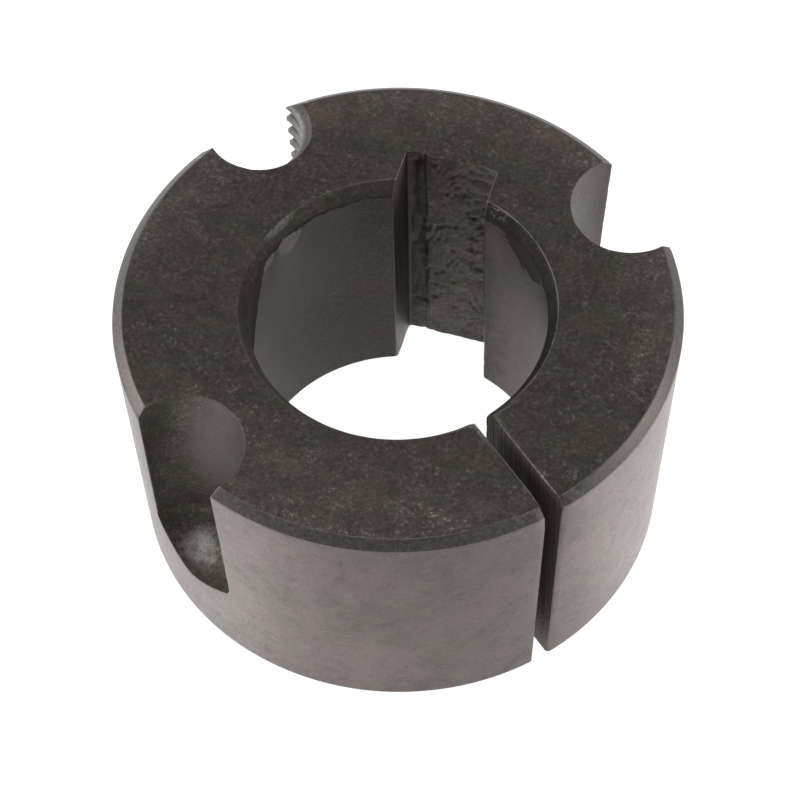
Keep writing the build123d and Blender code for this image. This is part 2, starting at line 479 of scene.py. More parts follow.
# A narrow lighter line along the edge of the painted shadow.
line_by_shadow = calc("ABSOLUTE", calc("ADD", leaning, 8.9))
line_by_shadow = times(ease(line_by_shadow, 0.22, 0.04, 0.0, 0.5), ease(axes[0], -9.5, -11.5))
colour = tint(line_by_shadow, colour, (0.17, 0.15, 0.135, 1))
black = stain((8.5, 9.2, 24.6), (3.1, 2.8, 3.2), 0.9, 0.1)
run_over = calc("MULTIPLY_ADD", calc("SUBTRACT", noise(place, 0.9, 5.0), 0.5), 1.4, axes[2])
black = calc("MAXIMUM", black, ease(run_over, length - 1.5, length - 1.38))
far_back = times(ease(axes[1], 7.0, 11.0), ease(axes[0], 3.0, 0.0))
black_tone = tint(far_back, (0.033, 0.027, 0.023, 1), (0.056, 0.047, 0.042, 1))
colour = tint(black, colour, black_tone)
edge = rubbing_at(0.12, 0.2)
colour = tint(edge, colour, (0.16, 0.145, 0.135, 1))
rough = ease(iron["Grain"], 0.3, 0.7, 0.42, 0.52)
rough = calc("MULTIPLY_ADD", smooth_side, -0.12, rough)
rough = calc("MULTIPLY_ADD", calc("MAXIMUM", black, shadowed), 0.5, rough)
height = calc("MULTIPLY_ADD", sand, 1.4, times(lines, 0.3))
wear(shader, colour, rough, height, 0.045, 0.8, 0.3)
metal = ease(calc("MAXIMUM", black, shadowed), 0.0, 1.0, 0.8, 0.1)
tree.links.new(metal, shader.inputs["Metallic"])
finishes["bored"] = made

# Heights of the rows down the plain outside and the bore, close together at each edge
outer_z, outer_inset = wall_rows(
    (length - 0.05, 3), (length - large_chamfer + 0.05, 1), (length - large_chamfer - 0.06, 3),
    (length - 1.8, 32), (0.9, 2), (small_chamfer + 0.05, 1), (small_chamfer - 0.05, 1), (0.05, 0))
bore_z, bore_inset = wall_rows(
    (length - 0.05, 4), (length - lead_depth + 0.05, 1), (length - lead_depth - 0.06, 2),
    (length - 2.0, 26), (1.2, 2), (exit_chamfer + 0.05, 1), (exit_chamfer - 0.05, 2), (0.05, 0))


def wall_finishes(z, plain):
    """One finish for each row of cells down a wall: chamfers at the ends, plain between."""
    top, bottom, ends = ((large_chamfer, small_chamfer, "chamfered") if plain == "ground"
                         else (lead_depth, exit_chamfer, "leading"))
    middle = (z[1:] + z[:-1]) / 2
    return np.where((middle > length - top) | (middle < bottom), ends, plain).tolist()


# The two half holes for the screws: drilled straight down the joint of bush and hub,
# so only the inner half is in the bush, and ending in the drill's 118 degree point.
hole_circle = 22.225
screw_hole = 5.0
screw_angles = [radians(45.0), radians(235.0)]
screw_floor = length - 16.7
drill_slope = tan(radians(59.0))
drill_tip = screw_floor - screw_hole / drill_slope
drill_corner = 1.2                          # radius the drill's worn corners leave
drill_web = 1.0                             # how far the drill's point is rounded
pocket_columns, skirt_rows = 60, 16


def foot_height(from_axis):
    """Height of a pocket's floor: the point's cone, blunted by adding the web to the distance
    from the axis in quadrature, and near the wall the circle that touches cone and wall."""
    rise = 1 / drill_slope
    steep = np.hypot(rise, 1)
    touch = screw_hole - drill_corner * (1 - rise / steep)
    blunt = drill_tip + rise * np.hypot(np.minimum(from_axis, touch), drill_web)
    beyond = np.clip(from_axis - screw_hole + drill_corner, drill_corner * rise / steep, drill_corner)
    return blunt + drill_corner / steep - np.sqrt(drill_corner ** 2 - beyond ** 2)


wall_foot = float(foot_height(screw_hole))


def hole_corner(radius, hole):
    """Where the hole's circle crosses the circle of the outside.

    The first angle is about the hole's axis from straight outward, by the cosine rule
    on the three centre distances; the second is the same point's angle about the bore.
    """
    cosine = (radius ** 2 - hole_circle ** 2 - hole ** 2) / (2 * hole_circle * hole)
    turn = np.arccos(np.clip(cosine, -1, 1))
    return turn, np.arctan2(hole * np.sin(turn), hole_circle + hole * np.cos(turn))


def about_hole(hole, turn, middle):
    """Points on a hole's circle: out along the hole's direction and across it by the turn."""
    out, side = hole_circle + hole * np.cos(turn), hole * np.sin(turn)
    return np.stack((out * cos(middle) - side * sin(middle), out * sin(middle) + side * cos(middle)), -1)


def screw_line(z, inset, middle):
    """The hole's wall at each height, from its first corner round to its second."""
    hole = screw_hole + inset
    turn, _ = hole_corner(outside(z) - inset, hole)
    start = turn + edge_break / hole
    return about_hole(hole[:, None], -spread(start, 2 * pi - start, pocket_columns), middle)


def pocket_fan():
    """Angles of a pocket's stations about the bore at the pocket's foot, from its middle."""
    _, half = hole_corner(outside(np.array(wall_foot)), screw_hole)
    half = half - edge_break / outside(wall_foot)
    return spread(-half, half, pocket_columns)


def below_screw(z, inset, middle):
    """The taper under a pocket: its stations spread over the pocket's own angle."""
    across = pocket_fan()
    return turned((outside(z) - inset)[:, None] + 0 * across, middle + across)


def screw_pocket(middle):
    """The pocket: its wall down to the drill's rounded corner, the drilled floor out to the
    taper along straight lines in plan from the wall to the rim, and the taper below."""
    wall_z = heights((length - 0.05, 2), (length - 0.4, 34), (wall_foot + 0.05, 0))
    wall_z = np.r_[length, wall_z]
    wall_inset = np.r_[edge_break, 0 * wall_z[1:]]
    wall = raised(screw_line(wall_z, wall_inset, middle), wall_z[:, None])

    across = pocket_fan()
    rim_z = np.full(pocket_columns, wall_foot)
    for _ in range(12):                     # settles on the line where floor meets taper
        radius = outside(rim_z)
        from_axis = np.sqrt(radius ** 2 + hole_circle ** 2 - 2 * radius * hole_circle * np.cos(across))
        rim_z = foot_height(np.minimum(from_axis, screw_hole))
    rim = turned(outside(rim_z), middle + across)
    foot = screw_line(np.array([wall_foot]), np.zeros(1), middle)[0]
    share = np.r_[0, 0.004, 0.015, 0.035, 0.065, 0.10, np.linspace(0.145, 0.96, 14), 0.99]
    cone = foot + (rim - foot) * share[:, None, None]
    centre = hole_circle * np.array((cos(middle), sin(middle)))
    from_axis = np.linalg.norm(cone - centre, axis=-1)
    cone = raised(cone, foot_height(np.minimum(from_axis, screw_hole)))

    below = np.minimum(rim_z - 0.05, screw_floor - 0.1)
    foot_z = small_chamfer + 0.05
    drop = np.linspace(0, 1, skirt_rows)[:, None] ** 1.2
    skirt_z = below + (foot_z - below) * drop
    skirt_z = np.concatenate((skirt_z, np.broadcast_to(
        np.array([small_chamfer - 0.05, 0.05, 0.0])[:, None], (3, pocket_columns))))
    radius = outside(skirt_z) - np.where(skirt_z == 0, edge_break, 0)
    skirt = raised(turned(radius, middle + across), skirt_z)

    lay(np.concatenate((wall, cone)), "drilled")
    lay(np.concatenate((cone[-1:], skirt)), ["ground"] * (skirt_rows + 1) + ["chamfered"] * 2, "tb")
    return np.concatenate((wall, cone, skirt))


# The drilled wall: grainy black oxide, smoother on one side of each hole, with painted light on that
# side and a painted highlight low down at the foot.
made, place, axes, shader = begin("drilled_wall")
iron = use(scaled_iron, Place=stretch(place, (1.3, 1.3, 1.3)),
           Ground=(0.098, 0.083, 0.074, 1), Flecks=(0.25, 0.225, 0.205, 1), Fleckiness=1.1,
           Rusting=0.2)
colour, rough = iron["Color"], ease(iron["Grain"], 0.3, 0.7, 0.6, 0.45)
for middle_angle, lit_side in zip(screw_angles, (radians(150.0), radians(58.0))):
    hole = (hole_circle * cos(middle_angle), hole_circle * sin(middle_angle))
    side = (hole[0] + screw_hole * cos(lit_side), hole[1] + screw_hole * sin(lit_side))
    # Painted light on the lit side of each hole, where the wall is also a little smoother.
    smooth = stain((*side, 19.0), (5.4, 5.4, 10.5), 0.4, 0.5)
    colour = tint(times(smooth, 0.9), colour, (0.110, 0.094, 0.086, 1))
    rough = calc("MULTIPLY_ADD", smooth, -0.1, rough)
    foot = (hole[0] + 2.5 * cos(lit_side + 0.55), hole[1] + 2.5 * sin(lit_side + 0.55))
    # Painted highlight: a bright spot at the foot of the hole.
    bright = stain((*foot, 6.9), (2.1, 2.5, 1.8), 1.5, 0.85)
    bright = times(bright, ease(iron["Grain"], 0.36, 0.60, 0.5, 1.0))
    colour = tint(bright, colour, (0.44, 0.425, 0.41, 1))
wear(shader, colour, rough, iron["Grain"], 0.03, 0.6, 0.4)
finishes["drilled"] = made

# The half hole for jacking the bush out: drilled right through at the tapping size and
# tapped 16 turns to the inch, right hand, so half of each thread is in the bush.
jack_angle = radians(140.0)
tapping_radius = 3.97
tap_radius = 4.7625
pitch = 25.4 / 16
flank = tan(radians(27.5))
root_flat = 0.1
first_groove = length - 0.3                 # height of the groove straight inward
jack_columns = 46
jack_rounds = 20                            # turns of rows, more than the length holds
jack_reach = radians(13.0)                  # the fine skin runs this far each side of the hole
side_steps = np.array([0.0, 0.35, 0.7, 1.0])


def tapped_radius(turn, z):
    """Radius of the tapped hole: the tapping drill's, plus a V groove that climbs one pitch
    a turn; its depth falls from the middle of the groove at the slope of the flank."""
    middle = first_groove + pitch * (turn + pi) / (2 * pi)
    off = np.abs((z - middle + pitch / 2) % pitch - pitch / 2)
    depth = (root_flat + (tap_radius - tapping_radius) * flank - off) / flank
    return tapping_radius + np.clip(depth, 0, tap_radius - tapping_radius)


def jack_turns():
    """Nominal angles about the hole for the fine skin's columns."""
    turn, _ = hole_corner(outside(length / 2), (tapping_radius + tap_radius) / 2)
    side = np.ones(len(side_steps))
    return -np.r_[side * turn, np.linspace(turn, 2 * pi - turn, jack_columns), side * (2 * pi - turn)]


def jack_line(z, inset):
    """The fine skin at each height: the taper up to the hole's corner, round the tapped wall
    and the taper beyond. Both corners move with the groove that crosses them."""
    radius = outside(z) - inset
    nominal = jack_turns()
    first = tapped_radius(nominal[0], z) + inset
    last = tapped_radius(nominal[-1], z) + inset
    first_turn, first_angle = hole_corner(radius, first)
    last_turn, last_angle = hole_corner(radius, last)
    n = len(side_steps)
    gap = 0.4 * edge_break / tapping_radius
    along = np.linspace(0, 1, jack_columns)
    turn = -(first_turn[:, n:-n] + gap + (2 * pi - first_turn - last_turn - 2 * gap)[:, n:-n] * along)
    wall = about_hole(tapped_radius(turn, z[:, n:-n]) + inset[:, n:-n], turn, jack_angle)
    near = jack_reach + (first_angle + gap - jack_reach)[:, :n] * side_steps
    far = jack_reach + (last_angle + gap - jack_reach)[:, -n:] * side_steps[::-1]
    return np.concatenate((turned(radius[:, :n], jack_angle - near), wall,
                           turned(radius[:, -n:], jack_angle + far)), 1)


def jack_skin():
    """Rows that climb with the thread, cut off level at both faces."""
    marks = np.array([0.79, 0.57, 0.46, 0.3, 0.14, 0.0, -0.14, -0.3, -0.46, -0.57])
    turns = first_groove + 2 * pitch - pitch * np.arange(jack_rounds)
    rows = (turns[:, None] + marks).ravel()
    climb = pitch * (jack_turns() + pi) / (2 * pi)
    z = np.clip(rows[:, None] + climb, 0.04, length - 0.04)
    level = np.ones_like(z[:1])
    z = np.concatenate((length * level, z, 0 * level))
    inset = np.zeros_like(z)
    inset[[0, -1]] = edge_break
    points = raised(jack_line(z, inset), z)
    n = len(side_steps)
    lay(points[:, :n + 1], wall_finishes(z[:, 0], "ground"), "r")
    lay(points[:, n:-n], "tapped")
    lay(points[:, -n - 1:], wall_finishes(z[:, -1], "ground"), "l")
    return points


# The cut thread: bright on the crests that a screw has rubbed, dark in the roots.
made, place, axes, shader = begin("cut_thread")
axis = (hole_circle * cos(jack_angle), hole_circle * sin(jack_angle), 0)
offset = put("VectorMath", {0: place, 1: axis}, operation="SUBTRACT").outputs[0]
offset = put("VectorMath", {0: stretch(offset, (1, 1, 0))}, operation="LENGTH")
spots = noise(place, 3.0, 4.0, 0.7)
from_axis = calc("MULTIPLY_ADD", spots, 0.25, offset.outputs["Value"])
crest = ease(from_axis, tapping_radius + 0.6, tapping_radius + 0.1)
colour = tint(crest, (0.090, 0.079, 0.074, 1), (0.215, 0.197, 0.189, 1))
wear(shader, colour, ease(spots, 0.3, 0.7, 0.44, 0.58), spots, 0.02, 0.65)
finishes["tapped"] = made

# The keyway: broached straight through the wall of the bore; the floor is torn
# where the iron broke away ahead of the teeth.
key_half = 4.0
key_floor = bore_radius + 3.3
key_fillet = 0.25
wall_columns, fillet_columns, floor_columns = 13, 2, 50
key_z, key_inset = wall_rows((length - 0.05, 1), (length - 0.2, 116), (0.2, 1), (0.05, 0))


def speckle(points, size, seed):
    """Smooth noise from -1 to 1: random values on a lattice of the given size, blended by
    a smooth step along each axis."""
    cell = np.asarray(points, float) / size
    base = np.floor(cell).astype(np.int64)
    part = cell - base
    part = part * part * (3 - 2 * part)
    total = np.zeros(cell.shape[:-1])
    for corner in np.ndindex(*(2,) * cell.shape[-1]):
        at = base + np.array(corner)
        mixed = np.full(total.shape, seed * 7919 + 13, np.int64)
        for axis, prime in zip(range(at.shape[-1]), (73856093, 19349663, 83492791)):
            mixed = (mixed ^ (at[..., axis] * prime)) * 2654435761 % 2 ** 32
            mixed = mixed ^ (mixed >> 15)
        value = (mixed % 2 ** 16) / 2 ** 15 - 1
        share = np.where(np.array(corner) == 1, part, 1 - part).prod(-1)
        total += value * share
    return total


def torn(x, z):
    """Depth of the tears in the keyway floor. Scales bow up the floor round a point beyond
    its right wall, each deepening slowly to a lip; they come and go over a rough ground,
    with vertical scores on the left strip and a chipped band at the large end."""
    spot = np.stack((x, z), -1)
    wander = 1.3 * speckle(spot, 2.3, 3) + 0.45 * speckle(spot, 0.9, 4)
    bow = z + 0.20 * (x - 4.2) ** 2 + wander
    scale = (bow / 1.2) % 1
    come = np.clip(0.35 + 1.6 * speckle(spot, 1.5, 5) + 0.16 * x, 0, 1)
    scales = 0.19 * scale ** 3 * come * (0.7 + 0.6 * speckle(spot, 0.5, 12))
    rough = 0.022 * speckle(spot, 0.35, 6) + 0.04 * speckle(spot, 1.1, 7)
    pits = np.clip(speckle(spot, 0.9, 8) - 0.5, 0, 1) * 0.35
    chip = np.clip((z - length + 1.9 + 0.9 * speckle(spot, 1.1, 9)) / 0.4, 0, 1)
    chipped = chip * (0.12 + 0.14 * speckle(spot, 0.6, 10)) * np.clip(1.1 - 0.12 * x, 0, 1)
    left = np.clip((-2.3 - x + 0.12 * speckle(spot, 2.0, 11)) / 0.15, 0, 1)
    scored = np.stack((x / 0.28, z / 5.0), -1)
    shallow = np.clip((key_half - key_fillet - np.abs(x)) / 0.4, 0, 1)
    step = left * (0.05 + 0.03 * speckle(scored, 1.0, 13))
    return shallow * (scales * (1 - left) + rough + pits + chipped + step)


def key_line(z, inset):
    """The keyway's outline at each height: up one wall from the bore, round the corner the
    broach leaves, across the torn floor, and back down the other wall."""
    start = np.sqrt((inside(z) + inset) ** 2 - (key_half + inset) ** 2)
    side, floor = (key_half + inset)[:, None], (key_floor + inset)[:, None]
    up = spread(start + edge_break, key_floor - key_fillet, wall_columns)
    bend = np.linspace(0, pi / 2, fillet_columns + 2)[1:-1]
    fillet = (key_fillet + inset)[:, None]
    across = spread(key_half - key_fillet + 0 * z, key_fillet - key_half, floor_columns)
    corner_x = key_half - key_fillet + fillet * np.cos(bend)
    corner_y = key_floor - key_fillet + fillet * np.sin(bend)
    tears = torn(across, z[:, None] + 0 * across)
    tears = tears * np.where(inset > 0, 0.8, 1.0)[:, None]
    x = np.concatenate((side + 0 * up, corner_x, across, -corner_x[:, ::-1], -side + 0 * up), 1)
    y = np.concatenate((up, corner_y, floor + tears, corner_y[:, ::-1], up[:, ::-1]), 1)
    return np.stack((x, y), -1)


# Broached iron: brown-grey walls and a grey torn floor with a dark strip down its left,
# streaked along the broach's travel, with pale chips along the large end.
made, place, axes, shader = begin("broached_key")
streaks = drawn_out(place, (3.4, 3.4, 0.22))
iron = use(scaled_iron, Place=place, Ground=(0.079, 0.066, 0.058, 1),
           Flecks=(0.180, 0.156, 0.138, 1), Fleckiness=0.6, Rusting=0.3)
floor_share = ease(axes[1], key_floor - 0.5, key_floor - 0.1)
streaked_x = calc("MULTIPLY_ADD", calc("SUBTRACT", streaks, 0.5), 1.2, axes[0])
dull = ease(streaked_x, -2.7, -2.1, 0.3, 1.0)
wall = tint(ease(streaks, 0.4, 0.65), (0.125, 0.098, 0.086, 1), (0.178, 0.146, 0.128, 1))
colour = tint(times(floor_share, dull), wall, iron["Color"])
share = times(ease(streaks, 0.5, 0.7, 0.0, 0.6), floor_share)
colour = tint(share, colour, (0.100, 0.085, 0.075, 1))
# Darker along the left of the floor, with a near-black line at its edge.
strip = times(ease(streaked_x, -2.1, -2.7, 0.0, 0.75), floor_share)
colour = tint(strip, colour, (0.036, 0.029, 0.026, 1))
dark_line = calc("ABSOLUTE", calc("ADD", streaked_x, 2.35))
dark_line = times(ease(dark_line, 0.16, 0.04, 0.0, 0.7), floor_share)
colour = tint(dark_line, colour, (0.014, 0.011, 0.010, 1))
pale_end = times(ease(axes[2], length - 4.6, length - 1.6), ease(axes[0], -0.5, 2.5, 0.0, 0.85))
colour = tint(times(pale_end, floor_share), colour, (0.152, 0.131, 0.120, 1))
chips = times(ease(axes[2], length - 2.2, length - 0.2), ease(noise(place, 3.6, 5.0, 0.75), 0.56, 0.66))
chips = times(chips, floor_share)
colour = tint(times(chips, 0.7), colour, (0.24, 0.22, 0.19, 1))
height = calc("MULTIPLY_ADD", streaks, 0.5, iron["Grain"])
wear(shader, colour, ease(iron["Grain"], 0.3, 0.7, 0.52, 0.40), height, 0.05, 0.6, 0.3)
finishes["broached"] = made

# The saw cut: one slot through the wall, which lets the sleeve close on the shaft. It
# runs a little to one side of the axis, and its blade leaves fine upright lines.
cut_angle = radians(320.0)
cut_walls = {"first": 0.47, "last": -1.13}  # how far each wall is from the axis
cut_breaks = {"first": 0.16, "last": 0.10}  # edge break down the outside corners
cut_top = 1.2                               # down to here that break has the outside's finish
cut_along = np.array((cos(cut_angle), sin(cut_angle)))
cut_across = np.array((-sin(cut_angle), cos(cut_angle)))


def cut_side(radius, wall, edge):
    """Angle about the bore at which a circle meets a line beside the cut's wall: the arc
    sine of the line's distance over the radius, from the direction of the cut."""
    away = np.sign(cut_walls[wall]) * (abs(cut_walls[wall]) + edge)
    return cut_angle + (0 if wall == "first" else 2 * pi) + np.arcsin(away / radius)


# Sawn iron: grey, scored by the blade's fine upright lines; darker and olive where the cut opens into
# the bore, with painted shade right at the bore's edge, and pale flecks towards the foot.
made, place, axes, shader = begin("sawn_wall")
along = put("VectorMath", {0: place, 1: (*cut_along, 0)}, operation="DOT_PRODUCT")
along = along.outputs["Value"]
upright = put("CombineXYZ", {0: along, 1: times(axes[2], 0.05)}).outputs[0]
lines = drawn_out(upright, (6.5, 1, 1))
spots = noise(place, 3.0, 5.0, 0.75)
colour = tint(ease(lines, 0.48, 0.66), (0.125, 0.100, 0.088, 1), (0.235, 0.198, 0.177, 1))
inner_end = ease(along, 16.0, 13.6, 0.0, 0.8)
olive = tint(ease(lines, 0.42, 0.6), (0.050, 0.040, 0.026, 1), (0.098, 0.082, 0.060, 1))
colour = tint(inner_end, colour, olive)
# Painted shade: a near-black band where the cut meets the bore.
colour = tint(ease(along, 13.0, 12.7, 0.0, 0.7), colour, (0.030, 0.026, 0.020, 1))
grit = put("CombineXYZ", {0: times(along, 4.5), 1: times(axes[2], 2.0)})
grit = noise(grit.outputs[0], 1.0, 5.0, 0.75)
low_end = calc("MULTIPLY_ADD", ease(axes[2], 9.0, 0.0), 0.30, grit)
colour = tint(ease(low_end, 0.60, 0.72, 0.0, 0.85), colour, (0.34, 0.31, 0.28, 1))
edge = rubbing_at(0.16, 0.5)
rubbing = ease(along, 17.0, 13.0, 0.08, 1.0)
colour = tint(times(edge, rubbing), colour, (0.24, 0.225, 0.21, 1))
height = calc("MULTIPLY_ADD", spots, 0.4, lines)
wear(shader, colour, ease(lines, 0.3, 0.7, 0.66, 0.54), height, 0.03, 0.6, 0.15)
finishes["sawn"] = made

# Stations are the lines of points that run round the skin from one wall of the cut to
# the other. Outside and inside have the same stations, so both end faces are grids.
first_plain, mid_plain, last_plain = 66, 68, 64
key_stations = 2 * (wall_columns + fillet_columns) + floor_columns
lead_in, lead_out = 10, 12
jack_stations = jack_columns + 2 * len(side_steps)
jack_gap = jack_reach + radians(0.8)
key_fan = (radians(66.5), radians(113.5))   # where the stations behind the keyway begin and end
before_key = (378.0, 378.6, 429.4)          # degrees at which the bore's stations stand
after_key = (474.0, 477.0, 523.0, 526.0, 569.4, 570.0, 620.4)  # opposite each hole's ends


def bent(station, marks, knots):
    """Angles at the stations, in straight runs between the knots given at the marks."""
    turn = np.interp(station, marks, np.arange(len(marks)))
    low = np.minimum(turn.astype(int), len(marks) - 2)
    return knots[:, low] + (knots[:, low + 1] - knots[:, low]) * (turn - low)


def outer_plain(z, inset, stretch):
    """One plain stretch of the outside between two of: the cut, a screw hole, the jack hole."""
    radius = outside(z) - inset
    _, half = hole_corner(radius, screw_hole + inset)
    half = half + edge_break / radius
    if stretch == 0:
        ends = (cut_side(radius, "first", cut_breaks["first"]), 2 * pi + screw_angles[0] - half)
        return turned(radius[:, None], spread(*ends, first_plain))
    if stretch == 1:
        marks = [0, lead_in, lead_in + key_stations - 1, lead_in + key_stations + lead_out - 1]
        knots = np.stack((screw_angles[0] + half, key_fan[0] + 0 * z,
                          key_fan[1] + 0 * z, jack_angle - jack_gap + 0 * z), -1)
        return turned(radius[:, None], 2 * pi + bent(np.arange(marks[-1] + 1), marks, knots))
    if stretch == 2:
        ends = (jack_angle + jack_gap + 0 * z, screw_angles[1] - half)
        return turned(radius[:, None], 2 * pi + spread(*ends, mid_plain))
    ends = (screw_angles[1] + half + 2 * pi, cut_side(radius, "last", cut_breaks["last"]))
    return turned(radius[:, None], spread(*ends, last_plain))


def outer_line(z, inset):
    """The whole outside at level heights, station by station."""
    z, inset = np.atleast_1d(z), np.atleast_1d(inset)
    level = np.ones((1, jack_stations))
    pocket = screw_line if z[0] > screw_floor else below_screw
    return np.concatenate((
        outer_plain(z, inset, 0), pocket(z, inset, screw_angles[0]),
        outer_plain(z, inset, 1), jack_line(z[:, None] * level, inset[:, None] * level),
        outer_plain(z, inset, 2), pocket(z, inset, screw_angles[1]),
        outer_plain(z, inset, 3)), 1)


def inner_line(z, inset):
    """The bore and keyway at each height. The bore's arcs open out opposite each hole, so
    that the lines across an end face leave the hole's wall at a fair angle."""
    z, inset = np.atleast_1d(z), np.atleast_1d(inset)
    radius = inside(z) + inset
    corner = np.arcsin((key_half + inset) / radius) + edge_break / radius
    to_key = first_plain + pocket_columns + lead_in
    marks = [0, first_plain - 1, first_plain, first_plain + pocket_columns - 1, to_key - 1]
    fixed = [radians(a) + 0 * z for a in before_key]
    knots = np.stack((cut_side(radius, "first", edge_break), *fixed, 2 * pi + pi / 2 - corner), -1)
    before = bent(np.arange(to_key), marks, knots)
    counts = np.cumsum([lead_out, len(side_steps), jack_columns - 1, len(side_steps) + 1,
                        mid_plain, pocket_columns, last_plain])
    marks = [0, *counts[:4], counts[4] - 1, counts[4], counts[5], counts[6] - 1]
    fixed = [radians(a) + 0 * z for a in after_key]
    knots = np.stack((2 * pi + pi / 2 + corner, *fixed, cut_side(radius, "last", edge_break)), -1)
    after = bent(np.arange(counts[-1]), marks, knots)
    return np.concatenate((turned(radius[:, None], before), key_line(z, inset),
                           turned(radius[:, None], after)), 1)


# The skin goes on patch by patch: both end faces, the outside with its holes, the bore
# and keyway, and the two sawn walls that close it.
face_steps = np.r_[0, 0.008, 0.022, np.linspace(0.045, 0.955, 44), 0.978, 0.992, 1]
back_steps = np.r_[0, 0.01, 0.03, np.linspace(0.075, 0.925, 14), 0.97, 0.99, 1]
outer_rim, inner_rim = outer_line(length, edge_break), inner_line(length, edge_break)
large_face = outer_rim + (inner_rim - outer_rim) * face_steps[:, None, None]
large_face = lay(raised(large_face, length), "faced")
outer_rim, inner_rim = outer_line(0.0, edge_break), inner_line(0.0, edge_break)
small_face = outer_rim + (inner_rim - outer_rim) * back_steps[:, None, None]
small_face = lay(raised(small_face, 0.0), "faced")

plains = [lay(raised(outer_plain(outer_z, outer_inset, n), outer_z[:, None]),
              wall_finishes(outer_z, "ground")) for n in range(4)]
pockets = [screw_pocket(angle) for angle in screw_angles]
jack = jack_skin()
bore = raised(inner_line(bore_z, bore_inset), bore_z[:, None])
key_start = first_plain + pocket_columns + lead_in
first_bore = lay(bore[:, :key_start], wall_finishes(bore_z, "bored"))
last_bore = lay(bore[:, key_start + key_stations:], wall_finishes(bore_z, "bored"))
key = lay(raised(key_line(key_z, key_inset), key_z[:, None]), "broached")


def falling(line):
    """A key for lacing that rises down the line, whatever small rises the line has."""
    return np.maximum.accumulate(-line[:, 2])


ring = (plains[0], pockets[0], plains[1], jack, plains[2], pockets[1], plains[3])
for left, right in zip(ring, ring[1:]):
    lace(left[:, -1], right[:, 0], falling(left[:, -1]), falling(right[:, 0]), "ground")
for left, right in ((first_bore, key), (key, last_bore)):
    lace(left[:, -1], right[:, 0], falling(left[:, -1]), falling(right[:, 0]), "broached")

saw_columns, saw_rows, saw_gap = 84, 26, 0.12


def sawn(along, z, seed):
    """Depth of the saw's marks: upright lines that wander a little, coarser and finer ones
    together, with a few deep ones where the blade chattered."""
    wander = along + 0.05 * speckle(np.stack((along, z), -1), 6.0, seed)
    spot = np.stack((wander, z / 40), -1)
    lines = 0.012 * speckle(spot, 0.6, seed + 1) + 0.012 * speckle(spot, 0.3, seed + 2)
    return lines + 0.03 * np.clip(speckle(spot, 0.9, seed + 3) - 0.3, 0, 1)


def cut_wall(wall, outer, bore_side, column, seed):
    """Closes the skin at one wall of the cut: a narrow broken edge all round the section,
    then a grid across the wall, its rim laced to the edge."""
    loops = (outer[:, column], small_face[:, column], bore_side[::-1, column], large_face[::-1, column])
    away, broken = cut_walls[wall], cut_breaks[wall]

    def on_wall(along, z):
        plan = along[..., None] * cut_along + away * cut_across
        return raised(plan, z)

    def limits(z, more):
        low = np.sqrt(inside(z) ** 2 - away ** 2) + edge_break + more
        return low, np.sqrt(outside(z) ** 2 - away ** 2) - broken - more

    across, down = np.linspace(0, 1, saw_columns), np.linspace(0, 1, saw_rows)
    z = (length - edge_break - saw_gap) * (1 - down) + (edge_break + saw_gap) * down
    low, high = limits(z, saw_gap)
    along = spread(high, low, saw_columns)
    z = z[:, None] + 0 * along
    field = on_wall(along, z)
    fade = np.minimum(1, 12 * np.minimum(np.minimum(across, 1 - across),
                                         np.minimum(down, 1 - down)[:, None] * 2))
    depth = (0.03 + sawn(along, z, seed)) * fade
    field[..., :2] += np.sign(away) * depth[..., None] * cut_across
    lay(field, "sawn", "tblr", saw_gap + edge_break)
    borders = (field[:, 0], field[-1], field[::-1, -1], field[0, ::-1])
    for loop, border in zip(loops, borders):
        z = np.clip(loop[:, 2], edge_break, length - edge_break)
        rim = on_wall(np.clip(loop[:, :2] @ cut_along, *limits(z, 0)), z)
        strip = np.stack((loop, rim))
        top_end = np.argmax(loop[:, 2] < length - cut_top) if loop is loops[0] else len(loop) - 1
        lay(strip[:, :top_end + 1], "sawn", "t")
        if loop is loops[0]:
            lay(strip[:, top_end:], "ground" if wall == "first" else "chamfered", "t")
        upright = loop is loops[0] or loop is loops[2]
        way = 2 if upright else 0
        rise = 1 if loop is loops[2] or loop is loops[3] else -1
        keys = [rise * (line[:, 2] if way else line[:, :2] @ cut_along) for line in (rim, border)]
        lace(rim, border, *map(np.maximum.accumulate, keys), "sawn")


cut_wall("first", plains[0], first_bore, 0, 31)
cut_wall("last", plains[3], last_bore, -1, 47)


weld_grid, weld_shift = 0.0002, 0.123456    # the shift keeps round sizes off the grid's steps


def welded():
    """The patches as one closed skin: points that fall together become one, each keeps its
    least reach from an edge, and cells that closed up are dropped."""
    points = np.concatenate(skin["points"])
    place = np.round((points + weld_shift) / weld_grid).astype(np.int64)
    _, first, whole = np.unique(place, axis=0, return_index=True, return_inverse=True)
    whole = whole.ravel()
    reach = np.full(len(first), far_off)
    np.minimum.at(reach, whole, np.concatenate(skin["reach"]))
    cells, names = [], []
    for group, label in (("quads", "quad_finish"), ("fans", "fan_finish")):
        rows = whole[np.concatenate(skin[group])]
        finish = np.concatenate(skin[label])
        if group == "quads":                # a quad with one closed side is a triangle
            shut = rows == np.roll(rows, -1, 1)
            cells.append(rows[~shut.any(1)])
            names.append(finish[~shut.any(1)])
            one = shut.sum(1) == 1
            keep = ~shut[one]
            rows, finish = rows[one][keep].reshape(-1, 3), finish[one]
        good = ((rows[:, 0] != rows[:, 1]) & (rows[:, 1] != rows[:, 2]) & (rows[:, 2] != rows[:, 0]))
        cells.append(rows[good])
        names.append(finish[good])
    return points[first], reach, cells, np.concatenate(names)


